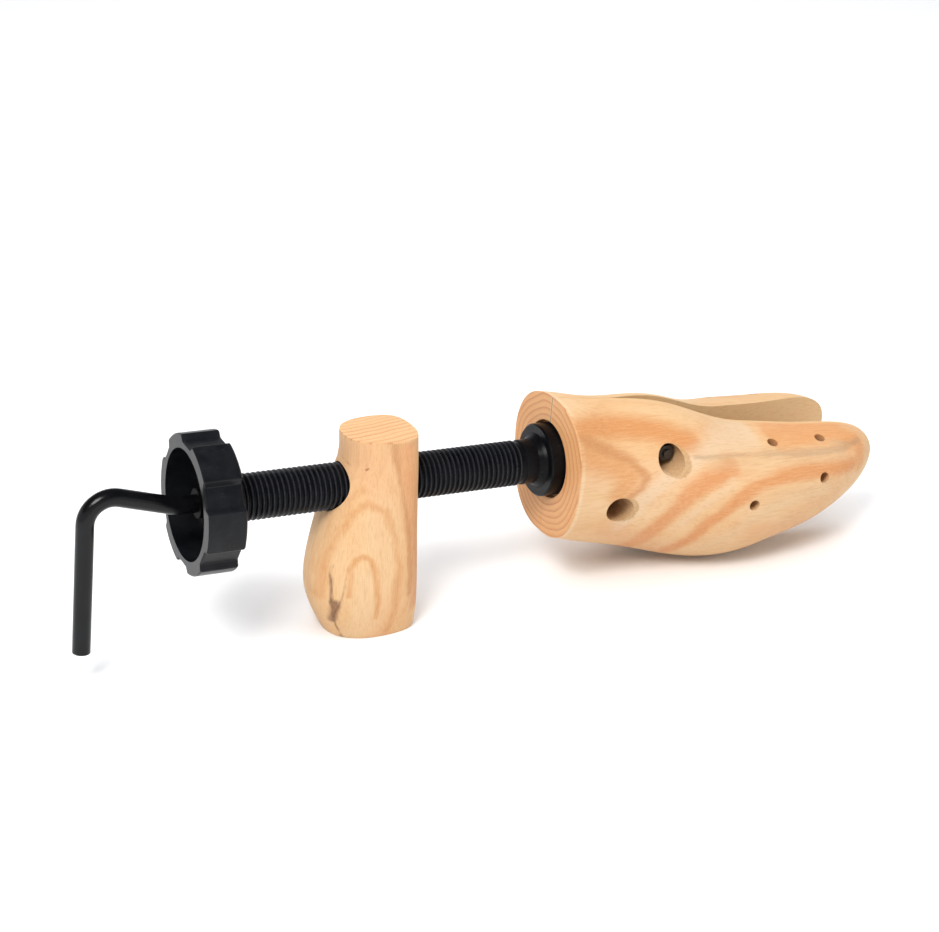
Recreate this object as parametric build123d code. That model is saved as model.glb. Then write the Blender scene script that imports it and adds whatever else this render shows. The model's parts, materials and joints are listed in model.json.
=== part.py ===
from build123d import *
import math
import os

# Two-way wooden shoe stretcher.  Lengths are in millimetres.
# The pieces are drawn about the screw axis: X runs along the tube towards the toe, Y to the left, Z up,
# X = 0 is the rear face of the tube's flange.  standing() then puts the assembly on the floor.

# ---- overall ----------------------------------------------------------------------------------
TILT = 5.02            # the screw slopes down this much towards the toe
FLOOR_DROP = 58.0      # from the flange's rear centre straight down (square to the tube) to the floor
OPEN = 7.7             # each toe half is swung open by this angle at rest
FULCRUM_X = 35.0       # the two halves rock against each other here
RUN = 0.3              # clearance where one piece turns or slides in another
SEAM = 0.1             # each half stands back this far from the middle plane

# ---- tube, wheel and rod ------------------------------------------------------------------------
TUBE_R = 10.0          # over the thread crests
PITCH = 2.3
THREAD_DEEP = 0.85
THREAD_REAR = -139.5
THREAD_FRONT = -9.0
FLANGE_R = 16.2
FLANGE_T = 9.0
ROD_R = 3.8
ROD_THREAD_PITCH = 1.25
WHEEL_REAR = -162.4
WHEEL_FRONT = -146.0
HUB_FRONT = -141.0
HUB_R = 14.5
WHEEL_R = 29.5         # over the lobes
NOTCH_R = 26.6
LOBES = 6
NOTCH_TURN = 28.5      # where the first notch stands at rest, from the right towards the top
NOTCH_WIDE = 14.0      # across a notch at the rim
CUP_R = 23.5
CUP_FLOOR = -148.5
LOCK_NUT_T = 3.0
THRUST_T = 1.2
COLLAR_R = 6.2
COLLAR_T = 4.0
PIN_R = 1.0
ROD_RISE = 16.0        # the cranked handle climbs at this angle behind the wheel
CRANK_X = -166.0
HANDLE_X = -203.6      # the hanging leg
HANDLE_LOW = -60.5
BEND_R = 11.0

# ---- heel block ---------------------------------------------------------------------------------
HEEL_FRONT = -63.0
HEEL_TOP = 23.6
HEEL_LENGTH = 49.0     # at its fullest
HEEL_WIDTH = 43.0

# ---- toe block ----------------------------------------------------------------------------------
TOE_REAR = 5.75
TOE_TIP = 169.5
BALL_HALF_WIDTH = 36.6
SEAT_R = 17.5          # counterbore that takes the flange

# ---- wedge and its ramps --------------------------------------------------------------------------
WEDGE_OPEN_X = 62.5    # the wedge's widest line at rest
WEDGE_TRAVEL = 20.0    # forward, to let the halves close
WEDGE_HALF = 9.5
WEDGE_TALL = 10.0
WEDGE_NOSE = 6.0       # ahead of its widest line
PLATE_T = 1.2          # steel wear plate on each ramp

# ---- cross bolts ----------------------------------------------------------------------------------
BOLT_R = 2.0
HEAD_R = 3.5
NUT_AF = 7.0
RECESS_R = 6.2         # the large holes in the sides
SLACK_R = 3.9          # oversize hole that lets the halves rock on the bolt
RECESS_Y = 11.0
SPRING_LONG = 6.0      # each return spring, with the halves open
FULCRUM_BOLT_X = 30.0
FULCRUM_BOLT_Z = -15.0
SPRING_BOLT_X = 53.0
SPRING_BOLT_Z = 6.4
PLUG_R = 2.5           # holes for the bunion plugs
PLUG_DEEP = 11.0

TAN = math.tan(math.radians(TILT))
TUBE_END = CUP_FLOOR - LOCK_NUT_T - 0.5


def turned(solid, degrees):
    """Swing a solid about the fulcrum line."""
    return Pos(FULCRUM_X, 0, 0) * Rot(0, 0, degrees) * Pos(-FULCRUM_X, 0, 0) * solid


def bar_x(radius, x0, x1, y=0.0, z=0.0):
    return Pos((x0 + x1) / 2, y, z) * Rot(0, 90, 0) * Cylinder(radius, x1 - x0)


def bar_y(radius, y0, y1, x, z):
    return Pos(x, (y0 + y1) / 2, z) * Rot(90, 0, 0) * Cylinder(radius, y1 - y0)


def prism(points, z0, z1):
    """Upright prism on a plan outline."""
    points = [p for i, p in enumerate(points) if math.dist(p, points[i - 1]) > 1e-6]
    return Pos(0, 0, z0) * extrude(make_face(Polyline(*points, close=True)), z1 - z0)


def below_floor():
    """Everything under the floor, in the tube's own frame."""
    return Rot(0, -TILT, 0) * Pos(0, 0, -FLOOR_DROP * math.cos(math.radians(TILT)) - 50) * Box(900, 300, 100)


def oval(x, mid_y, half_w, top, low, top_n, low_n, count=20):
    """Closed smooth section across the toe block: fuller corners for a larger n."""
    mid_z = low + (top - low) * 0.58
    points = []
    for i in range(count):
        a = 2 * math.pi * i / count
        c, s = math.cos(a), math.sin(a)
        n = top_n if s >= 0 else low_n
        high = (top - mid_z) if s >= 0 else (mid_z - low)
        points.append((x, mid_y + half_w * math.copysign(abs(c) ** (2 / n), c),
                       mid_z + high * math.copysign(abs(s) ** (2 / n), s)))
    return Face(Wire(Spline(*points, periodic=True)))


def toe_blank():
    """One half's outside before the middle plane is sawn, in the closed position."""
    w = BALL_HALF_WIDTH / 36.6
    gape = math.tan(math.radians(OPEN))
    # station, half width, top, underside, fullness above and below
    rows = [(2, 29.0 * w, 28.8, -34.3, 2.3, 2.35), (18, 30.2 * w, 27.6, -38.5, 2.05, 2.2),
            (36, 31.6 * w, 25.7, -43.0, 1.7, 2.1), (54, 33.4 * w, 24.0, -47.4, 1.65, 2.0),
            (70, 35.4 * w, 19.8, -51.0, 1.8, 2.0), (86, 36.6 * w, 14.2, -51.4, 2.0, 2.1),
            (104, 35.4 * w, 11.0, -47.5, 2.1, 2.2), (124, 31.8 * w, 9.2, -41.0, 2.2, 2.2),
            (142, 26.0 * w, 8.4, -33.5, 2.2, 2.2), (154, 19.6 * w, 7.2, -26.5, 2.2, 2.2),
            (162, 13.4 * w, 4.6, -20.5, 2.1, 2.1), (167, 7.4 * w, 0.6, -14.5, 2.0, 2.0)]
    scale = (TOE_TIP - FULCRUM_X) / (169.5 - FULCRUM_X)
    wires = []
    for x, half_w, top, low, top_n, low_n in rows:
        at = x if x < FULCRUM_X else FULCRUM_X + (x - FULCRUM_X) * scale
        wires.append(oval(at, max(0.0, FULCRUM_X - x) * gape, half_w, top, low, top_n, low_n))
    tip = Vertex(TOE_TIP, 0, -7.0)
    return loft(wires + [tip])


def ramp_line():
    """Depth of the finished ramp under the middle plane where the wedge bears, open and closed."""
    a = math.radians(OPEN)
    ahead = WEDGE_OPEN_X - FULCRUM_X
    x_open = FULCRUM_X + ahead * math.cos(a) + WEDGE_HALF * math.sin(a)
    y_open = -ahead * math.sin(a) + WEDGE_HALF * math.cos(a)
    x_shut = WEDGE_OPEN_X + WEDGE_TRAVEL
    slope = (WEDGE_HALF - y_open) / (x_shut - x_open)
    return x_open, y_open, x_shut, slope


def ramp_plate():
    """Steel plate let into the ramp, in the closed position."""
    x_open, y_open, x_shut, slope = ramp_line()
    gap = 0.1
    lean = PLATE_T * math.hypot(1, slope)
    x0, x1 = x_open - 5.5, x_shut + 1.5

    def deep(x):
        return y_open + gap + slope * (x - x_open)
    tall = WEDGE_TALL / 2 + 0.6
    plate = prism([(x0, deep(x0)), (x1, deep(x1)), (x1, deep(x1) + lean), (x0, deep(x0) + lean)], -tall, tall)
    groove = bar_x(ROD_R + RUN + 0.15, x0 - 1, x1 + 1)
    plate -= groove
    return plate, (x0, x1, deep, lean, slope, tall)


def ramp_screws(depth_of):
    """Countersunk wood screws, two to a plate, above and below the rod."""
    x0, x1, deep, lean, slope, tall = depth_of
    turn = math.degrees(math.atan(slope))
    x = x1 - 5.0
    screws = []
    for z in (-tall / 2, tall / 2):
        body = Pos(0, 0.62, 0) * Rot(90, 0, 0) * Cone(0.8, 1.9, 1.1)
        shank = bar_y(0.8, 1.1, 9.0, 0, 0)
        point = Pos(0, 9.75, 0) * Rot(90, 0, 0) * Cone(0.15, 0.8, 1.5)
        screws.append(Pos(x, deep(x), z) * Rot(0, 0, turn) * (body + shank + point))
    return screws


def cross_hole(x, z):
    """Oversize through hole and its recess from the side, square to the plane at half swing."""
    hole = bar_y(SLACK_R, -2, RECESS_Y + 1, x, z)
    recess = bar_y(RECESS_R, RECESS_Y, 70, x, z)
    return turned(hole + recess, -OPEN / 2)


def plug_hole(x, y, z, up):
    """Blind hole for a bunion plug, entering square to the surface near the given point."""
    return Pos(x, y, z) * Rot(up - 90, 0, 0) * Pos(0, 0, -PLUG_DEEP) * Cylinder(
        PLUG_R, PLUG_DEEP + 25, align=(Align.CENTER, Align.CENTER, Align.MIN))


# the four plug holes of a half, in the closed position: place on the surface, and lean of the hole
PLUGS = [(94.5, 34.0, -14.5, 0.0), (132.0, 27.5, -7.0, 8.0), (109.0, 18.5, 8.0, 64.0), (135.0, 14.5, 7.0, 68.0)]


def toe_half():
    """Left half, swung open."""
    half = toe_blank()
    a = math.radians(OPEN)
    back = FULCRUM_X + 30
    half -= prism([(-30, -90), (-30, SEAM + back * math.tan(a)), (FULCRUM_X, SEAM), (240, SEAM), (240, -90)],
                  -100, 100)
    # ramp pocket for the wedge, deep enough for the wear plate where the plate lies
    plate, (x0, x1, deep, lean, slope, tall) = ramp_plate()
    x_start = x0 - deep(x0) / slope
    end = x1 + WEDGE_NOSE + 2.5
    full = WEDGE_HALF + RUN
    half -= prism([(x_start, -1), (x_start, 0), (x0, deep(x0)), (x1, deep(x1)), (x1, max(full, deep(x1))),
                   (end, max(full, deep(x1))), (end, -1)], -tall, tall)
    half -= prism([(x0, deep(x0) - 0.3), (x1, deep(x1) - 0.3), (x1, deep(x1) + lean), (x0, deep(x0) + lean)],
                  -tall, tall)
    for screw in ramp_screws((x0, x1, deep, lean, slope, tall)):
        half -= screw
    # groove for the rod, shut and open
    half -= bar_x(ROD_R + RUN, FULCRUM_X - 1, end + 4)
    half -= turned(bar_x(ROD_R + RUN, 0, FULCRUM_X + 3), -OPEN)
    half -= turned(bar_x(SEAT_R, -20, FLANGE_T + 0.15), -OPEN)
    half -= cross_hole(FULCRUM_BOLT_X, FULCRUM_BOLT_Z)
    half -= cross_hole(SPRING_BOLT_X, SPRING_BOLT_Z)
    for x, y, z, up in PLUGS:
        half -= plug_hole(x, y, z, up)
    half = turned(half, OPEN)
    half -= Pos(TOE_REAR - 50, 0, 0) * Box(100, 200, 200)
    half -= below_floor()
    return half


def heel_outline(x_back, x_front, half_w, z, count=22):
    """Plan section of the heel block: round at the back, squarer in front."""
    mid = x_front - (x_front - x_back) * 0.42
    points = []
    for i in range(count):
        a = 2 * math.pi * i / count
        c, s = math.cos(a), math.sin(a)
        n = 3.6 if c >= 0 else 2.1
        reach = (x_front - mid) if c >= 0 else (mid - x_back)
        points.append((mid + reach * math.copysign(abs(c) ** (2 / n), c),
                       half_w * math.copysign(abs(s) ** (2 / 2.4), s), z))
    return Face(Wire(Spline(*points, periodic=True)))


INSERT_R = 13.0
INSERT_LONG = 20.0


def heel_block():
    """Stands upright on the floor, so it leans back a little from square to the tube."""
    k = HEEL_LENGTH / 49.0
    w = HEEL_WIDTH / 43.0
    f = HEEL_FRONT
    low = -FLOOR_DROP + TAN * f
    # height, back, front and half width, all tied to the front face and the fullest size
    rows = [(HEEL_TOP + 6, f - 27.0 * k, f + 3.4, 14.6 * w), (HEEL_TOP - 10, f - 29.6 * k, f + 3.0, 16.0 * w),
            (2, f - 34.6 * k, f + 2.4, 17.6 * w), (-14, f - 41.2 * k, f + 1.6, 19.4 * w),
            (-32, f - 45.8 * k, f + 0.8, 21.2 * w), (-44, f - 46.6 * k, f + 0.4, HEEL_WIDTH / 2),
            (low + 8, f - 43.8 * k, f - 0.2, 20.4 * w), (low - 2, f - 39.4 * k, f - 1.8, 18.0 * w),
            (low - 8, f - 35.0 * k, f - 4.5, 15.0 * w)]
    block = loft([heel_outline(back, front, half_w, z) for z, back, front, half_w in rows])
    block = Pos(f, 0, 0) * Rot(0, -TILT, 0) * Pos(-f, 0, 0) * block
    block -= Pos(f, 0, HEEL_TOP + 50) * Box(200, 200, 100)
    block -= below_floor()
    block -= bar_x(TUBE_R + RUN, f - HEEL_LENGTH - 10, f + 20)
    block -= bar_x(INSERT_R, f - INSERT_LONG - 2.0, f + 20)
    return block


def heel_insert():
    x1 = HEEL_FRONT - 2.0
    ring = bar_x(INSERT_R, x1 - INSERT_LONG, x1) - bar_x(TUBE_R + RUN, x1 - 60, x1 + 10)
    return ring


def threaded_tube():
    """Tube with its crests, turned neck and flange, bored for the rod."""
    root = TUBE_R - THREAD_DEEP
    points = [(TUBE_END, 0), (TUBE_END, root), (THREAD_REAR, root)]
    turns = int((THREAD_FRONT - THREAD_REAR) / PITCH)
    for i in range(turns):
        x = THREAD_REAR + i * PITCH
        points += [(x + 0.15 * PITCH, root), (x + 0.42 * PITCH, TUBE_R), (x + 0.58 * PITCH, TUBE_R),
                   (x + 0.85 * PITCH, root)]
    points += [(THREAD_FRONT, root), (THREAD_FRONT + 0.6, TUBE_R - 0.1), (-3.0, TUBE_R - 0.1),
               (-1.2, TUBE_R + 1.4), (0, TUBE_R + 2.2), (0, FLANGE_R - 0.6), (0.6, FLANGE_R),
               (FLANGE_T - 0.6, FLANGE_R), (FLANGE_T, FLANGE_R - 0.6), (FLANGE_T, 0)]
    face = make_face(Polyline(*[(x, 0, z) for x, z in points], close=True))
    tube = revolve(face, Axis.X)
    return tube - bar_x(ROD_R + RUN, CUP_FLOOR - 60, FLANGE_T + 10)


def hand_wheel():
    """Cup wheel, open at the back, with shallow notches between its lobes and a short hub in front."""
    rim = bar_x(WHEEL_R, WHEEL_REAR, WHEEL_FRONT)
    half_floor = NOTCH_WIDE / 2 - (WHEEL_R - NOTCH_R) * 0.9
    for i in range(LOBES):
        notch = prism([(WHEEL_R + 2, -NOTCH_WIDE / 2 - 2), (NOTCH_R, -half_floor), (NOTCH_R, half_floor),
                       (WHEEL_R + 2, NOTCH_WIDE / 2 + 2)], WHEEL_REAR - 1, WHEEL_FRONT + 1)
        rim -= Rot(180 - NOTCH_TURN + 360.0 * i / LOBES, 0, 0) * Rot(0, 90, 0) * Rot(0, 0, 90) * notch
    rim = fillet(rim.edges().filter_by(Axis.X), 0.8)
    rim = chamfer(rim.faces().sort_by(Axis.X)[0].edges() + rim.faces().sort_by(Axis.X)[-1].edges(), 0.6)
    wheel = rim + bar_x(HUB_R, WHEEL_FRONT - 1, HUB_FRONT)
    wheel -= bar_x(CUP_R, WHEEL_REAR - 10, CUP_FLOOR)
    wheel -= bar_x(TUBE_R - THREAD_DEEP, CUP_FLOOR - 20, HUB_FRONT + 10)
    return wheel


def wheel_lock_nut():
    """Hexagon nut that holds the wheel on the tube's end, inside the cup."""
    hexagon = RegularPolygon(13.0, 6, major_radius=False)
    nut = Pos(CUP_FLOOR - LOCK_NUT_T, 0, 0) * Rot(0, 90, 0) * extrude(hexagon, LOCK_NUT_T)
    return nut - bar_x(TUBE_R - THREAD_DEEP, CUP_FLOOR - 20, CUP_FLOOR + 20)


def thrust_washer():
    """Lies between the end of the tube and the collar on the rod."""
    x1 = TUBE_END - 0.1
    return bar_x(8.0, x1 - THRUST_T, x1) - bar_x(ROD_R + 0.25, x1 - 20, x1 + 20)


def collar_span():
    x1 = TUBE_END - 0.1 - THRUST_T - 0.1
    return x1 - COLLAR_T, x1


def rod_collar():
    x0, x1 = collar_span()
    return (bar_x(COLLAR_R, x0, x1) - bar_x(ROD_R, x0 - 5, x1 + 5)
            - Pos((x0 + x1) / 2, 0, 0) * Cylinder(PIN_R, 30))


def collar_pin():
    x0, x1 = collar_span()
    return Pos((x0 + x1) / 2, 0, 0) * Cylinder(PIN_R, 2 * COLLAR_R - 0.2)


def handle_rod():
    """Straight rod to the wedge, cranked and bent down behind the wheel."""
    rise = math.radians(ROD_RISE)
    tip_x = WEDGE_OPEN_X + WEDGE_TRAVEL + WEDGE_NOSE + 1.5
    run = CRANK_X - HANDLE_X
    top = run * math.tan(rise)
    path = FilletPolyline((tip_x, 0, 0), (CRANK_X, 0, 0), (HANDLE_X, 0, top), (HANDLE_X - 1.5, 0, HANDLE_LOW),
                          radius=BEND_R)
    rod = sweep(Plane(origin=(tip_x, 0, 0), z_dir=(-1, 0, 0)) * Circle(ROD_R), path)
    x0, x1 = collar_span()
    return rod - Pos((x0 + x1) / 2, 0, 0) * Cylinder(PIN_R, 30)


def wedge_nut():
    """Steel wedge threaded on the rod: bears on both ramps at its widest line."""
    a = math.radians(OPEN)
    x_open, y_open, x_shut, slope = ramp_line()
    taper = math.tan(a + math.atan(slope))
    x = WEDGE_OPEN_X
    tail = 5.5
    plan = [(x - tail, -WEDGE_HALF + tail * taper), (x, -WEDGE_HALF), (x + WEDGE_NOSE - 2, -WEDGE_HALF),
            (x + WEDGE_NOSE, -WEDGE_HALF + 1.5), (x + WEDGE_NOSE, WEDGE_HALF - 1.5),
            (x + WEDGE_NOSE - 2, WEDGE_HALF), (x, WEDGE_HALF), (x - tail, WEDGE_HALF - tail * taper)]
    wedge = prism(plan, -WEDGE_TALL / 2, WEDGE_TALL / 2)
    return wedge - bar_x(ROD_R + 0.05, x - 30, x + 30)


def cross_bolt(x, z, head_y):
    """Socket-head bolt across both halves; head on the left."""
    bolt = bar_y(BOLT_R, -head_y - 4.6, head_y + 0.5, x, z) + bar_y(HEAD_R, head_y, head_y + 4.0, x, z)
    socket = Pos(x, head_y + 4.0, z) * Rot(90, 0, 0) * extrude(RegularPolygon(1.5, 6, major_radius=False), 2.2)
    return bolt - socket


def cross_nut(x, z, head_y):
    hexagon = RegularPolygon(NUT_AF / 2, 6, major_radius=False)
    nut = Pos(x, -head_y, z) * Rot(90, 0, 0) * extrude(hexagon, 3.2)
    return nut - bar_y(BOLT_R, -head_y - 20, 0, x, z)


def cross_washers(x, z, head_y, outer, thick):
    out = []
    for y0 in (head_y - thick, -head_y):
        out.append(bar_y(outer, y0, y0 + thick, x, z) - bar_y(BOLT_R + 0.15, y0 - 5, y0 + 5, x, z))
    return out


def return_spring(x, z, y0, y1):
    """Compression spring between the left half's recess floor and the bolt head's washer."""
    wire = 0.45
    mean = 3.1
    length = y1 - y0 - 2 * wire - 0.1
    path = Helix(pitch=length / 3.5, height=length, radius=mean)
    coil = sweep(Plane(origin=path @ 0, z_dir=path % 0) * Circle(wire), path, is_frenet=True)
    return Pos(x, y0 + wire + 0.05 + length, z) * Rot(90, 0, 0) * coil


def pieces():
    """Every node with its solids, about the screw axis."""
    left = toe_half()
    plate, span = ramp_plate()
    plate_out = plate
    screws = ramp_screws(span)
    for screw in screws:
        plate_out -= screw
    plate_left = turned(plate_out, OPEN)
    screws_left = [turned(s, OPEN) for s in screws]

    rock = math.sin(math.radians(OPEN / 2))
    washer_r = HEAD_R + 0.8
    fulcrum_head = RECESS_Y + (FULCRUM_X - FULCRUM_BOLT_X + washer_r) * rock + 0.15 + 1.0
    spring_low = RECESS_Y + (SPRING_BOLT_X - FULCRUM_X + washer_r) * rock + 0.1
    spring_head = spring_low + SPRING_LONG + 1.0
    f = (FULCRUM_BOLT_X, FULCRUM_BOLT_Z)
    s = (SPRING_BOLT_X, SPRING_BOLT_Z)
    spring = return_spring(*s, spring_low, spring_head - 1.0)
    return {
        "toe_half_left": [left],
        "toe_half_right": [mirror(left, Plane.XZ)],
        "ramp_plate_left": [plate_left],
        "ramp_plate_right": [mirror(plate_left, Plane.XZ)],
        "ramp_screws_left": screws_left,
        "ramp_screws_right": [mirror(s_, Plane.XZ) for s_ in screws_left],
        "heel_block": [heel_block()],
        "heel_insert": [heel_insert()],
        "threaded_tube": [threaded_tube()],
        "hand_wheel": [hand_wheel()],
        "wheel_lock_nut": [wheel_lock_nut()],
        "thrust_washer": [thrust_washer()],
        "handle_rod": [handle_rod()],
        "rod_collar": [rod_collar()],
        "collar_pin": [collar_pin()],
        "wedge_nut": [wedge_nut()],
        "fulcrum_bolt": [cross_bolt(*f, fulcrum_head)],
        "fulcrum_nut": [cross_nut(*f, fulcrum_head)],
        "fulcrum_washers": cross_washers(*f, fulcrum_head, washer_r, 1.0),
        "spring_bolt": [cross_bolt(*s, spring_head)],
        "spring_nut": [cross_nut(*s, spring_head)],
        "spring_washers": cross_washers(*s, spring_head, washer_r, 1.0),
        "return_spring_left": [spring],
        "return_spring_right": [mirror(spring, Plane.XZ)],
    }


def standing(nodes):
    """Tilt everything onto the floor and centre it over the origin."""
    lean = Rot(0, TILT, 0)
    stood = {name: [lean * s for s in solids] for name, solids in nodes.items()}
    boxes = [s.bounding_box() for solids in stood.values() for s in solids]
    mid_x = (min(b.min.X for b in boxes) + max(b.max.X for b in boxes)) / 2
    move = Pos(-mid_x, 0, FLOOR_DROP * math.cos(math.radians(TILT)))
    return {name: [move * s for s in solids] for name, solids in stood.items()}, mid_x


def main():
    os.makedirs("parts", exist_ok=True)
    stood, _ = standing(pieces())
    for name, solids in stood.items():
        shape = solids[0] if len(solids) == 1 else Compound(children=solids)
        export_step(shape, f"parts/{name}.step")


main()
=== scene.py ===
import bpy
import json
import math
from mathutils import Matrix, Vector

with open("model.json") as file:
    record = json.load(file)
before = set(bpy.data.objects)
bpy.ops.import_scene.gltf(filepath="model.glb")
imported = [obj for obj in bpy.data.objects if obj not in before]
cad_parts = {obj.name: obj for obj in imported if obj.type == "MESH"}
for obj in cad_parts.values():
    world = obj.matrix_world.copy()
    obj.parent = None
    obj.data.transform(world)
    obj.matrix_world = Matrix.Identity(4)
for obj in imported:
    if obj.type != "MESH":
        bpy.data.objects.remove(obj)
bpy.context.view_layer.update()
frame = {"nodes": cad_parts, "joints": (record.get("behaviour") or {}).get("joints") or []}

NODES = frame["nodes"]
JOINT = {j["name"]: j for j in frame["joints"]}

# The tube's own frame: X along the screw axis to the toe, Y to the left, Z square above it.
# The patterns, the figure and the camera are all given in it, in mm.
AXIS = Vector(JOINT["wheel_turn"]["axis"]).normalized()
START = Vector(JOINT["wheel_turn"]["pos_m"])
SIDE = Vector((0, 1, 0))
OVER = AXIS.cross(SIDE).normalized()
MM = 0.001

LIGHT = 1.36                             # how far the studio light lifts a matt tone
CREASE = math.radians(32)                # edges sharper than this stay sharp
OPEN = math.radians(7.7)                 # how far each toe half is swung out at rest
HINGE_X = (Vector(JOINT["toe_left_swing"]["pos_m"]) - START).dot(AXIS) / MM
TOE_REAR = (6.7, 6.1)                    # X, from the toe's sides to its rear face
HEEL_TOP = (22.4, 23.2)                  # Z, from the heel's sides to its top face
RECESSES = [(53.5, 5.8), (30.0, -15.0)]  # X and Z of the bolt recesses in the toe halves
RECESS_R = 6.2
CREST_R = 10.0                           # thread crests, from the screw axis
THREAD_END = (-8.0, -10.0)               # X, from the turned neck to the thread
FAR_SHIFT_TOE = (16.0, 4.0, 0.0)         # how far the left side's figure is moved
FAR_SHIFT_HEEL = (7.0, -11.0, 0.0)
FAR_STRENGTH = 0.55                      # and how strong it still is
KNOT_SUM = 400                           # a figure tone that sums to less is a knot or bark
NOISE_MIDDLE = 0.5                       # each part of a noise colour is on either side of it


def on_axis(x, y=0.0, z=0.0):
    """A place given in the tube's frame, in metres of the scene."""
    return START + (AXIS * x + SIDE * y + OVER * z) * MM


def rgb(r, g, b):
    """sRGB 0-255 to linear."""
    return tuple(((c / 255) / 12.92) if c <= 10 else ((c / 255 + 0.055) / 1.055) ** 2.4 for c in (r, g, b))


def lit(r, g, b):
    """The colour that looks like this sRGB tone under the studio light."""
    return tuple(c / LIGHT for c in rgb(r, g, b))


PALE = lit(245, 206, 158)                # early wood
WARM = lit(240, 192, 138)
BLUSH = lit(241, 184, 138)
LATE = lit(204, 124, 70)                 # late wood in the rings
TOP_CUT = lit(249, 197, 142)
REAR_CUT = lit(247, 181, 120)
# painted highlight on the toe's rounded rear edge
REAR_EDGE_HIGHLIGHT = lit(250, 222, 182)
# painted highlight beside the saw cut on the rear face
SLIT_EDGE_HIGHLIGHT = lit(246, 212, 168)
# painted shade in the saw cut between the halves
SLIT_SHADE = lit(120, 78, 48)
SAWN_DARK = lit(230, 186, 132)
SAWN_PALE = lit(250, 213, 160)
FIBRE = lit(210, 150, 98)
SHINE = lit(252, 228, 192)
FLECK = lit(196, 132, 80)
# raw fibre in the drilled holes, darkened also as painted shade on their walls
HOLE_FIBRE_AND_SHADE = lit(158, 104, 58)
HOLE_PALE = lit(244, 204, 148)
SCUFFED_NYLON = rgb(92, 94, 98)
# painted highlight on the thread crests
CREST_HIGHLIGHT = rgb(62, 64, 70)
CHIPPED_STEEL = rgb(70, 72, 76)

# how dark one ring is, from its early wood to its late wood
RING = [(0.0, 0.0), (0.45, 0.08), (0.72, 0.55), (0.88, 1.0), (0.95, 0.9), (1.0, 0.0)]


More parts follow.
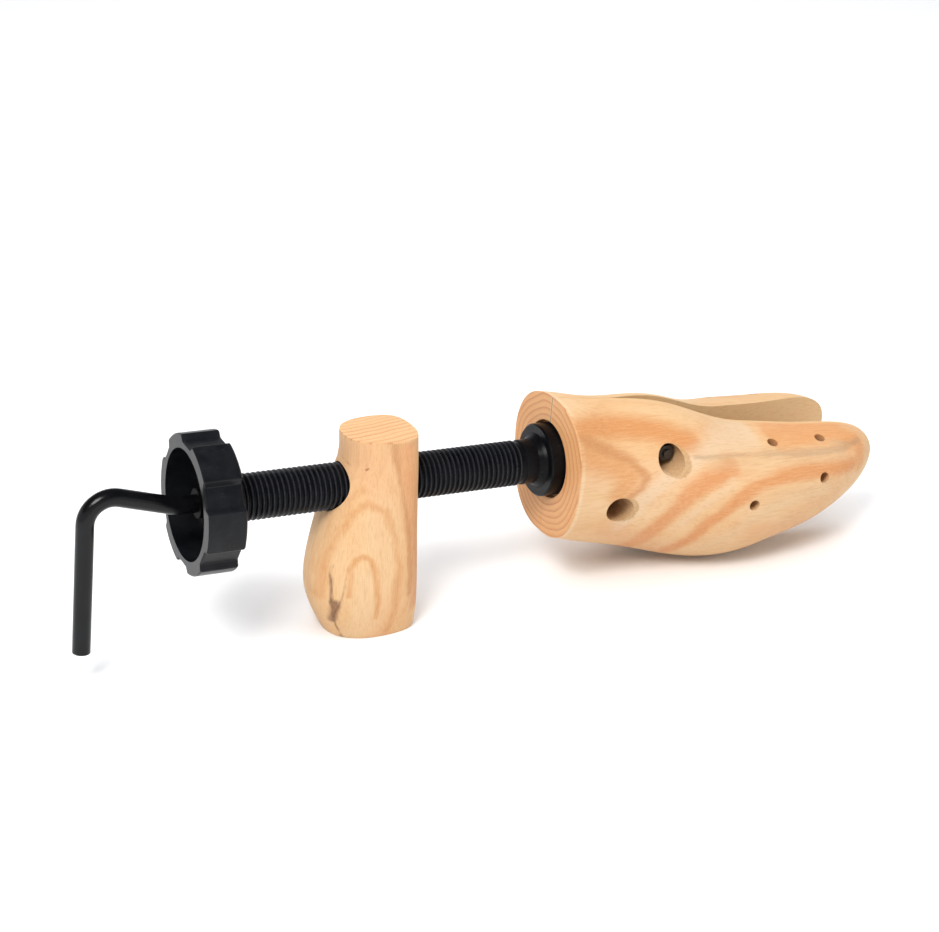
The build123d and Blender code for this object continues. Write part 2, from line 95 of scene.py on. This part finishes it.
# ---------------------------------------------------------------------------------------------
# shader graphs
# ---------------------------------------------------------------------------------------------
class Graph:
    """A material's node tree, with short calls for the nodes used here."""

    def __init__(self, name):
        self.mat = bpy.data.materials.new(name)
        self.mat.use_nodes = True
        self.tree = self.mat.node_tree
        self.tree.nodes.clear()
        self.out = self.node("ShaderNodeOutputMaterial")
        self.bsdf = self.node("ShaderNodeBsdfPrincipled")
        self.tree.links.new(self.bsdf.outputs[0], self.out.inputs["Surface"])

    def node(self, kind, **props):
        n = self.tree.nodes.new(kind)
        for k, v in props.items():
            setattr(n, k, v)
        return n

    def put(self, socket, value):
        """Link a socket to another, or set its value; a colour may come without its alpha."""
        if isinstance(value, bpy.types.NodeSocket):
            self.tree.links.new(value, socket)
            return
        if hasattr(value, "__len__"):
            value = list(value)
            if len(value) == 3 and len(socket.default_value) == 4:
                value = value + [1.0]
        socket.default_value = value

    def math(self, op, a, b=None, clamp=False):
        n = self.node("ShaderNodeMath", operation=op, use_clamp=clamp)
        self.put(n.inputs[0], a)
        if b is not None:
            self.put(n.inputs[1], b)
        return n.outputs[0]

    def times(self, a, *others):
        for b in others:
            a = self.math("MULTIPLY", a, b)
        return a

    def vec(self, op, a, b=None, scale=None):
        n = self.node("ShaderNodeVectorMath", operation=op)
        self.put(n.inputs[0], a)
        if b is not None:
            self.put(n.inputs[1], b)
        if scale is not None:
            self.put(n.inputs["Scale"], scale)
        return n.outputs["Value"] if op in ("LENGTH", "DOT_PRODUCT") else n.outputs["Vector"]

    def noise(self, at, scale, detail=2.0, rough=0.5, distort=0.0, output=0):
        n = self.node("ShaderNodeTexNoise")
        self.put(n.inputs["Vector"], at)
        self.put(n.inputs["Scale"], scale)
        self.put(n.inputs["Detail"], detail)
        self.put(n.inputs["Roughness"], rough)
        self.put(n.inputs["Distortion"], distort)
        return n.outputs[output]

    def moved(self, place, at, scale, detail, rough, reach):
        """The place, moved to and fro by a slow noise with the given reach."""
        drift = self.noise(at, scale, detail, rough, output="Color")
        drift = self.vec("SUBTRACT", drift, (NOISE_MIDDLE,) * 3)
        return self.vec("ADD", place, self.vec("SCALE", drift, scale=reach))

    def ramp(self, fac, stops):
        n = self.node("ShaderNodeValToRGB")
        n.color_ramp.interpolation = "EASE"
        while len(n.color_ramp.elements) < len(stops):
            n.color_ramp.elements.new(0.5)
        for e, (place, grey) in zip(n.color_ramp.elements, stops):
            e.position = place
            e.color = (grey, grey, grey, 1.0)
        self.put(n.inputs[0], fac)
        return n.outputs[0]

    def span(self, value, a, b, c=0.0, d=1.0):
        """c where the value is a, d where it is b, and smooth between them."""
        n = self.node("ShaderNodeMapRange", interpolation_type="SMOOTHSTEP")
        for i, v in enumerate((value, a, b, c, d)):
            self.put(n.inputs[i], v)
        return n.outputs[0]

    def mix(self, fac, a, b):
        """Colour a where the factor is 0, b where it is 1; sockets 6 and 7 are the node's colours."""
        n = self.node("ShaderNodeMix", data_type="RGBA")
        self.put(n.inputs[0], fac)
        self.put(n.inputs[6], a)
        self.put(n.inputs[7], b)
        return n.outputs[2]

    def paint(self, colour, tone, *masks):
        """The colour, with the tone laid over it where all the masks are high."""
        return self.mix(self.times(*masks), colour, tone)

    def bump(self, height, strength, distance):
        n = self.node("ShaderNodeBump")
        self.put(n.inputs["Strength"], strength)
        self.put(n.inputs["Distance"], distance)
        self.put(n.inputs["Height"], height)
        return n.outputs[0]

    def combine(self, *parts):
        n = self.node("ShaderNodeCombineXYZ")
        for i, p in enumerate(parts):
            self.put(n.inputs[i], p)
        return n.outputs[0]

    def tube_mm(self):
        """Where the point is in the tube's frame at rest, in mm: the vector and its three parts."""
        here = self.vec("SUBTRACT", self.node("ShaderNodeTexCoord").outputs["Object"], START)
        here = self.vec("SCALE", here, scale=1 / MM)
        parts = [self.vec("DOT_PRODUCT", here, d) for d in (AXIS, SIDE, OVER)]
        return self.combine(*parts), parts

    def set(self, **values):
        for k, v in values.items():
            self.put(self.bsdf.inputs[k.replace("_", " ")], v)
        return self.mat


# ---------------------------------------------------------------------------------------------
# pine
# ---------------------------------------------------------------------------------------------
def growth_rings(g, at, slow, pith, spacing, phase, upright):
    """Late wood in rings round the pith, from 0 to 1; each ring has a strength of its own."""
    flow = g.moved(at, g.vec("MULTIPLY", at, slow), 0.030, 2.0, 0.5, 7.0)
    across = (1.0, 1.0, 0.0) if upright else (0.0, 1.0, 1.0)
    radius = g.vec("LENGTH", g.vec("MULTIPLY", g.vec("SUBTRACT", flow, pith), across))
    age = g.math("ADD", g.math("DIVIDE", radius, spacing), phase)
    late = g.ramp(g.math("FRACT", age), RING)
    year = g.node("ShaderNodeTexWhiteNoise", noise_dimensions="1D")
    g.put(year.inputs["W"], g.math("FLOOR", age))
    return g.times(late, g.math("ADD", g.times(year.outputs["Value"], 0.6), 0.4))


def rear_face(g, colour, x, y, z, cut):
    """Painted highlights on the broken edge round the toe's rear face and beside the saw cut between the
    halves, and painted shade in the cut.
    """
    # painted highlight: a pale band round the rounded rear edge
    colour = g.paint(colour, REAR_EDGE_HIGHLIGHT, g.times(g.span(x, 6.1, 7.0), g.span(x, 9.0, 7.4)), 0.55)
    middle = g.math("ABSOLUTE", y)
    # painted highlight along both edges of the saw cut
    slit_edge_light_mask = g.times(g.span(middle, 1.1, 0.5), g.span(z, 9.0, 14.0))
    colour = g.paint(colour, SLIT_EDGE_HIGHLIGHT, slit_edge_light_mask, cut, 0.7)
    # painted shade: a dark line in the saw cut
    slit_shade_mask = g.times(g.span(middle, 0.42, 0.16), g.span(z, 9.0, 13.0))
    return g.paint(colour, SLIT_SHADE, slit_shade_mask, cut, 0.75)


def strokes(g, here, points, wide, soft):
    """1 along a broken line on the side of a block, falling to 0 at the given distance, in mm."""
    near = None
    for (ax, az), (bx, bz) in zip(points, points[1:]):
        run = Vector((bx - ax, bz - az, 0.0))
        rel = g.vec("SUBTRACT", here, (ax, az, 0.0))
        t = g.math("MULTIPLY", g.vec("DOT_PRODUCT", rel, run), 1.0 / run.length_squared, clamp=True)
        off = g.vec("LENGTH", g.vec("SUBTRACT", rel, g.vec("SCALE", run, scale=t)))
        near = off if near is None else g.math("MINIMUM", near, off)
    return g.span(near, wide, soft)


def pine(name, pith, spacing, phase, figure, upright=False, drilled=(), split=False):
    """Sanded pine: soft growth figure on the sides, rings on the end cut, fibres along the grain.

    The grain runs up when upright, else along the tube. The left side shows the same figure fainter
    and moved, as the next board of a plank would. A split block also has a sawn inner face.
    """
    g = Graph(name)
    at, (x, y, z) = g.tube_mm()
    slow = (1.0, 1.0, 0.35) if upright else (0.35, 1.0, 1.0)
    fibre = g.vec("MULTIPLY", at, (1.0, 1.0, 0.07) if upright else (0.07, 1.0, 1.0))
    hair = g.noise(fibre, 1.5, 4.0, 0.62)
    fine = g.noise(fibre, 5.0, 3.0, 0.65)
    cloud = g.noise(g.vec("MULTIPLY", at, slow), 0.05, 3.0, 0.55, 0.3)
    blush = g.noise(g.vec("MULTIPLY", g.vec("ADD", at, (31.0, 5.0, 9.0)), slow), 0.045, 2.0)

    # base tone: pale early wood with warmer patches
    colour = g.mix(g.span(cloud, 0.30, 0.70), PALE, WARM)
    colour = g.paint(colour, BLUSH, g.span(blush, 0.46, 0.72), 0.55)

    # growth rings, plain on the end cut and faint on the sides
    late = growth_rings(g, at, slow, pith, spacing, phase, upright)
    cut = g.span(z, *HEEL_TOP) if upright else g.span(x, *TOE_REAR)
    sides = g.math("SUBTRACT", 1.0, cut)
    faint = g.times(g.span(cloud, 0.35, 0.65), 0.16)
    show = g.math("ADD", g.times(cut, 0.80), g.times(sides, faint))
    colour = g.paint(colour, TOP_CUT if upright else REAR_CUT, cut, 0.75)
    colour = g.paint(colour, LATE, late, show)
    if split:
        colour = rear_face(g, colour, x, y, z, cut)

    # the figure on the sides, and on the toe one painted highlight along its top ridge
    flat = g.combine(x, z)
    here = g.moved(flat, g.vec("MULTIPLY", at, slow), 0.11, 3.0, 0.55, 5.0)
    far = g.span(y, -1.0, 1.0)
    shift = g.vec("SCALE", FAR_SHIFT_HEEL if upright else FAR_SHIFT_TOE, scale=far)
    here = g.vec("ADD", here, shift)
    mask = g.times(sides, g.span(far, 0.0, 1.0, 1.0, FAR_STRENGTH))
    if split:
        inner = g.times(g.math("SUBTRACT", x, HINGE_X), math.tan(OPEN))
        outside = g.span(g.math("SUBTRACT", g.math("ABSOLUTE", y), inner), 0.6, 3.0)
        mask = g.times(mask, outside)
    thin = g.span(hair, 0.30, 0.62, 0.72, 1.0)
    for points, wide, soft, tone, strength in figure:
        band = g.times(strokes(g, here, points, wide, soft), mask)
        if sum(tone) < KNOT_SUM:
            # a knot and its bark lines come out on the right side only
            band = g.times(band, g.math("SUBTRACT", 1.0, far))
        colour = g.paint(colour, lit(*tone), band, thin, strength)
    if split:
        sawn = g.mix(g.span(hair, 0.35, 0.65), SAWN_DARK, SAWN_PALE)
        colour = g.paint(colour, sawn, g.math("SUBTRACT", 1.0, outside), 0.85)

    # fibres
    colour = g.paint(colour, FIBRE, g.span(hair, 0.46, 0.66), 0.30)
    colour = g.paint(colour, SHINE, g.span(fine, 0.50, 0.68), 0.20)
    fleck = g.span(g.noise(g.vec("MULTIPLY", fibre, (1.8, 1.8, 1.8)), 1.6, 2.0, 0.5), 0.66, 0.72)
    colour = g.paint(colour, FLECK, fleck, 0.18)
    rough = g.math("ADD", 0.50, g.times(fine, 0.14))
    lift = g.math("ADD", g.times(fine, 0.45), g.times(late, 0.30))

    # raw fibre at the mouth and on the wall of each drilled hole; its darker tone is also painted shade on
    # the walls
    for hole_x, hole_z, radius in drilled:
        off = g.vec("LENGTH", g.vec("SUBTRACT", flat, (hole_x, hole_z, 0.0)))
        crumb = g.noise(at, 0.9, 4.0, 0.7)
        raw = g.span(g.math("ADD", off, g.times(crumb, 2.2)), radius + 1.9, radius + 0.8)
        colour = g.paint(colour, g.mix(crumb, HOLE_FIBRE_AND_SHADE, HOLE_PALE), raw, 0.75)
        rough = g.math("ADD", rough, g.times(raw, 0.3), clamp=True)
        lift = g.math("ADD", lift, g.times(crumb, raw, 3.0))
    normal = g.bump(lift, 0.35, 0.00012)
    return g.set(Base_Color=colour, Roughness=rough, Normal=normal, IOR=1.46, Specular_IOR_Level=0.35)


# ---------------------------------------------------------------------------------------------
# black nylon, black steel, zinc
# ---------------------------------------------------------------------------------------------
def black_plastic(name, base, rough, scuff, sheen, crest=None):
    """Moulded black nylon or blackened steel: fine peel, paler dust in clouds, rubbed scratches, and given
    a crest radius a painted highlight on the thread crests.
    """
    g = Graph(name)
    at, (x, _, _) = g.tube_mm()
    cloud = g.noise(at, 0.10, 4.0, 0.6)
    grain = g.noise(at, 3.4, 3.0, 0.6)
    scratch = g.noise(g.vec("MULTIPLY", at, (0.25, 1.0, 1.0)), 1.2, 5.0, 0.75, 0.6)
    rubbed = g.times(g.span(scratch, 0.56, 0.72), scuff)
    dusty = tuple(c * 1.6 + 0.002 for c in base)
    colour = g.mix(g.span(cloud, 0.35, 0.7), base, dusty)
    colour = g.paint(colour, SCUFFED_NYLON, rubbed, 0.30)
    if crest:
        # painted highlight: pale lines on the thread crests
        out = g.vec("LENGTH", g.vec("MULTIPLY", at, (0.0, 1.0, 1.0)))
        crest_light_mask = g.times(g.span(out, crest - 0.30, crest - 0.05), g.span(x, *THREAD_END))
        crest_light_mask = g.times(crest_light_mask, g.span(scratch, 0.35, 0.60, 0.35, 1.0))
        colour = g.paint(colour, CREST_HIGHLIGHT, crest_light_mask, 0.55)
    rough = g.math("ADD", rough, g.times(g.math("SUBTRACT", cloud, 0.5), 0.16))
    rough = g.math("ADD", rough, g.times(rubbed, 0.14), clamp=True)
    normal = g.bump(g.math("ADD", grain, g.times(scratch, 0.5)), 0.18, 0.00010)
    return g.set(Base_Color=colour, Roughness=rough, Normal=normal, IOR=1.50, Specular_IOR_Level=sheen)


def black_steel(name):
    """Gloss black coating over round steel bar, with small chips."""
    g = Graph(name)
    at, _ = g.tube_mm()
    cloud = g.noise(at, 0.08, 3.0, 0.6)
    peel = g.noise(at, 0.7, 2.0, 0.5)
    chip = g.span(g.noise(at, 1.5, 5.0, 0.8), 0.70, 0.76)
    colour = g.mix(g.span(cloud, 0.3, 0.75), (0.002, 0.0021, 0.0026), (0.0045, 0.0047, 0.0058))
    colour = g.paint(colour, CHIPPED_STEEL, chip, 0.25)
    rough = g.math("ADD", 0.17, g.times(cloud, 0.14))
    normal = g.bump(peel, 0.10, 0.00012)
    return g.set(Base_Color=colour, Roughness=rough, Normal=normal, IOR=1.5, Specular_IOR_Level=0.26)


def zinc(name, tone, rough):
    """Zinc plate or drawn wire, with turning marks and dulled patches."""
    g = Graph(name)
    at, _ = g.tube_mm()
    cloud = g.noise(at, 0.35, 4.0, 0.6)
    lines = g.noise(g.vec("MULTIPLY", at, (0.6, 3.5, 3.5)), 2.2, 3.0, 0.6)
    colour = g.mix(cloud, tone, tuple(c * 0.72 for c in tone))
    rough = g.math("ADD", rough, g.times(g.math("ADD", cloud, lines), 0.12))
    normal = g.bump(lines, 0.15, 0.00006)
    return g.set(Base_Color=colour, Metallic=1.0, Roughness=rough, Normal=normal)


# ---------------------------------------------------------------------------------------------
# the figure, with one painted highlight on the toe's top ridge: (points, reach, core at full strength,
# sRGB tone, strength)
# points are X and Z in the tube's frame; reach and core are distances from the line
# ---------------------------------------------------------------------------------------------
TOE_FIGURE_AND_HIGHLIGHT = [
    ([(4, 22), (20, 21), (38, 18), (52, 15.5), (64, 11)],
     6.5, 1.0, (224, 150, 88), 0.95),
    ([(10, 13), (22, 8), (30, 1), (27, -7)],
     10.0, 1.0, (228, 162, 102), 0.90),
    ([(8, 18), (22.9, 12.5), (32, 7), (38, 0.5), (36, -4.5), (31, -10)],
     3.4, 0.3, (206, 140, 84), 0.75),
    # a pale band; its upper end along the top ridge is a painted highlight
    ([(30, -24), (36, -12), (43, -4), (58, 5), (76, 11), (97, 10)],
     6.0, 1.0, (241, 214, 180), 0.70),
    ([(42, -40), (47, -26), (52.4, -16), (58.6, -7.7), (67, -2), (78, 2)],
     6.5, 1.2, (230, 156, 98), 0.95),
    ([(58, -22), (66, -12), (78, -3)],
     4.0, 0.5, (243, 212, 174), 0.55),
    ([(59, -42), (66, -27), (72, -19), (80, -11.5), (89, -6.5), (104, -3.2), (122, -3), (146, -4)],
     5.0, 0.8, (229, 154, 94), 0.95),
    ([(74, -36), (88, -22), (104, -14), (128, -11)],
     6.0, 1.0, (238, 202, 158), 0.60),
    ([(24, -27), (40, -33), (58, -42)],
     9.0, 1.0, (234, 172, 124), 0.45),
    ([(108, 8), (130, 8.5), (144, 7), (153, 3), (152, -6)],
     5.5, 1.0, (234, 160, 98), 0.80),
    ([(62, 7), (85, 5.6), (118, 3.8), (136, 3.3), (154, 3.0)],
     1.7, 0.2, (166, 140, 112), 0.50),
    ([(70, 5), (100, 3.6), (140, 2.0)],
     5.0, 0.5, (222, 186, 146), 0.35),
]
HEEL_FIGURE = [
    ([(-70, 20), (-68, 0), (-65, -25), (-63, -50)],
     7.0, 1.0, (228, 158, 104), 0.80),
    # the inner and the outer arch
    ([(-95, -44), (-94.5, -32), (-92.6, -27), (-89.7, -25), (-86.3, -27), (-84, -33), (-82.5, -45),
      (-83, -55)],
     2.1, 0.1, (222, 152, 86), 0.75),
    ([(-89.5, -34), (-88.5, -52)],
     6.0, 1.0, (243, 205, 158), 0.50),
    ([(-104, -46), (-102, -28), (-98, -15), (-93, -6), (-87, -2), (-80.5, -6), (-76, -17.5), (-74, -31),
      (-74.5, -46), (-76, -62)],
     2.9, 0.1, (222, 156, 94), 0.65),
    ([(-106, -36), (-103.5, -22), (-99, -10), (-94, -2), (-88, 4)],
     2.6, 0.1, (224, 164, 106), 0.45),
    ([(-76, 24), (-74, 10.7), (-72, -2.5), (-69.5, -16.4), (-68, -30), (-68, -45)],
     2.6, 0.2, (202, 138, 84), 0.70),
    # the knot and its two bark lines
    ([(-99.2, -48), (-98.6, -57)],
     2.5, 0.5, (118, 76, 54), 0.90),
    ([(-100.2, -30), (-101, -40), (-100.4, -49), (-98.9, -55)],
     0.85, 0.0, (112, 70, 46), 0.90),
    ([(-95.3, -30), (-96.6, -40), (-98, -48), (-98.8, -55), (-96, -60), (-92.5, -66)],
     0.75, 0.0, (124, 78, 50), 0.85),
    # two small resin specks
    ([(-92.2, 12.1), (-91.6, 11.6)],
     0.8, 0.1, (156, 100, 62), 0.85),
    ([(-86.8, 11.9), (-86.2, 12.4)],
     0.7, 0.1, (150, 92, 56), 0.85),
]
HOLES = [(hole_x, hole_z, RECESS_R) for hole_x, hole_z in RECESSES]

TOE = pine("pine_toe", (0.0, 0.0, -1.5), 2.9, 0.35, TOE_FIGURE_AND_HIGHLIGHT, drilled=HOLES, split=True)
HEEL = pine("pine_heel", (-88.0, 95.0, 0.0), 3.1, 0.62, HEEL_FIGURE, upright=True)
WHEEL = black_plastic("black_nylon", (0.0042, 0.0046, 0.0058), 0.30, 0.35, 0.20)
TUBE = black_plastic("black_nylon_thread", (0.0020, 0.0022, 0.0028), 0.30, 0.35, 0.10, crest=CREST_R)
ROD = black_steel("black_rod_steel")
DARK = black_plastic("black_oxide", (0.0016, 0.0016, 0.0019), 0.45, 0.1, 0.03)
ZINC = zinc("zinc_plate", (0.60, 0.61, 0.63), 0.24)
WIRE = zinc("spring_wire", (0.30, 0.29, 0.28), 0.34)
# zinc darkened as painted shade, for the spring bolt's pieces deep in their recess
RECESS_SHADE_ZINC = zinc("zinc_plate_shaded", (0.11, 0.10, 0.09), 0.48)

# every piece that is not named here is bright zinc
FINISH = {
    "toe_half_left": TOE,
    "toe_half_right": TOE,
    "heel_block": HEEL,
    "threaded_tube": TUBE,
    "hand_wheel": WHEEL,
    "handle_rod": ROD,
    "return_spring_left": WIRE,
    "return_spring_right": WIRE,
    # painted shade: the spring bolt's pieces are darkened so that they sit dark in their recess
    "spring_bolt": RECESS_SHADE_ZINC,
    "spring_nut": RECESS_SHADE_ZINC,
    "spring_washers": RECESS_SHADE_ZINC,
    "wheel_lock_nut": DARK,
    "thrust_washer": DARK,
    "rod_collar": DARK,
    "collar_pin": DARK,
}
for name, obj in NODES.items():
    obj.data.materials.clear()
    obj.data.materials.append(FINISH.get(name, ZINC))
    for polygon in obj.data.polygons:
        polygon.use_smooth = True
    obj.data.set_sharp_from_angle(angle=CREASE)

# ---------------------------------------------------------------------------------------------
# room, lights, camera
# ---------------------------------------------------------------------------------------------
scene = bpy.context.scene
scene.view_settings.view_transform = "Standard"
scene.view_settings.look = "None"
scene.view_settings.exposure = 0.0

FLOOR_HALF = 9.0                         # metres
FLOOR_DROP = 0.0002                      # just under the lowest point, so the faces don't flicker
paper = Graph("paper_sweep")
patches = paper.noise(paper.node("ShaderNodeTexCoord").outputs["Object"], 2.0)
paper_tone = paper.mix(patches, (0.90, 0.905, 0.915), (0.92, 0.922, 0.93))
paper.set(Base_Color=paper_tone, Roughness=0.7, Specular_IOR_Level=0.25)
corners = [(-FLOOR_HALF, -FLOOR_HALF, 0), (FLOOR_HALF, -FLOOR_HALF, 0),
           (FLOOR_HALF, FLOOR_HALF, 0), (-FLOOR_HALF, FLOOR_HALF, 0)]
mesh = bpy.data.meshes.new("floor")
mesh.from_pydata(corners, [], [(0, 1, 2, 3)])
floor = bpy.data.objects.new("floor", mesh)
floor.data.materials.append(paper.mat)
scene.collection.objects.link(floor)
floor.location.z = -FLOOR_DROP

# white walls low round the table and a dim ceiling, so that black pieces stay black from above
WALL_TOP = (0.24, 0.44)                  # how steeply up the walls fade into the ceiling, as a sine
WALL_LIGHT = 0.95
CEILING_LIGHT = 0.10
world = bpy.data.worlds.new("studio")
scene.world = world
world.use_nodes = True
sky = world.node_tree
look = sky.nodes.new("ShaderNodeTexCoord")
parts = sky.nodes.new("ShaderNodeSeparateXYZ")
fade = sky.nodes.new("ShaderNodeMapRange")
sky.links.new(look.outputs["Generated"], parts.inputs[0])
sky.links.new(parts.outputs["Z"], fade.inputs["Value"])
fade.inputs["From Min"].default_value = WALL_TOP[0]
fade.inputs["From Max"].default_value = WALL_TOP[1]
fade.inputs["To Min"].default_value = WALL_LIGHT
fade.inputs["To Max"].default_value = CEILING_LIGHT
sky.nodes["Background"].inputs["Color"].default_value = (0.975, 0.985, 1.0, 1)
sky.links.new(fade.outputs[0], sky.nodes["Background"].inputs["Strength"])

# name, place and aim in metres, width and height, watts, colour, and whether it shows in gloss
SOFTBOXES = [
    ("key", (-0.70, -0.60, 1.15), (0, 0, 0.03), (0.55, 0.55), 16.0, (1.0, 0.985, 0.96), True),
    ("ceiling", (0.0, 0.1, 1.7), (0, 0, 0.0), (2.6, 2.6), 34.0, (0.97, 0.985, 1.0), False),
    ("fill", (0.9, -0.9, 0.6), (0, 0, 0.05), (0.8, 0.8), 3.0, (0.96, 0.98, 1.0), False),
    ("back", (0.5, 1.1, 0.9), (0, 0, 0.05), (1.2, 0.6), 5.0, (1, 1, 1), False),
]
for name, place, aim, size, watts, colour, mirrored in SOFTBOXES:
    lamp = bpy.data.lights.new(name, "AREA")
    lamp.shape = "RECTANGLE"
    lamp.size, lamp.size_y = size
    lamp.energy = watts
    lamp.color = colour
    box = bpy.data.objects.new(name, lamp)
    scene.collection.objects.link(box)
    box.location = place
    box.rotation_euler = (Vector(aim) - Vector(place)).to_track_quat("-Z", "Y").to_euler()
    box.visible_glossy = mirrored

# the camera solved from the photo: its place, and the picture's right and down, in the tube's frame
CAMERA_AT = on_axis(-430.4, -734.4, 361.9)
PHOTO_RIGHT = AXIS * 0.8920 - SIDE * 0.4450 + OVER * 0.0780
PHOTO_DOWN = AXIS * -0.1134 - SIDE * 0.3880 - OVER * 0.9150
LENS = 80.5
SENSOR = 36.0
camera = bpy.data.objects.new("camera", bpy.data.cameras.new("camera"))
scene.collection.objects.link(camera)
ahead = PHOTO_RIGHT.cross(PHOTO_DOWN).normalized()
right = PHOTO_RIGHT.normalized()
down = ahead.cross(right)
turn = Matrix((
    (right.x, -down.x, -ahead.x),
    (right.y, -down.y, -ahead.y),
    (right.z, -down.z, -ahead.z),
))
camera.matrix_world = Matrix.Translation(CAMERA_AT) @ turn.to_4x4()
camera.data.lens = LENS
camera.data.sensor_width = SENSOR
camera.data.clip_start = 0.01
scene.camera = camera
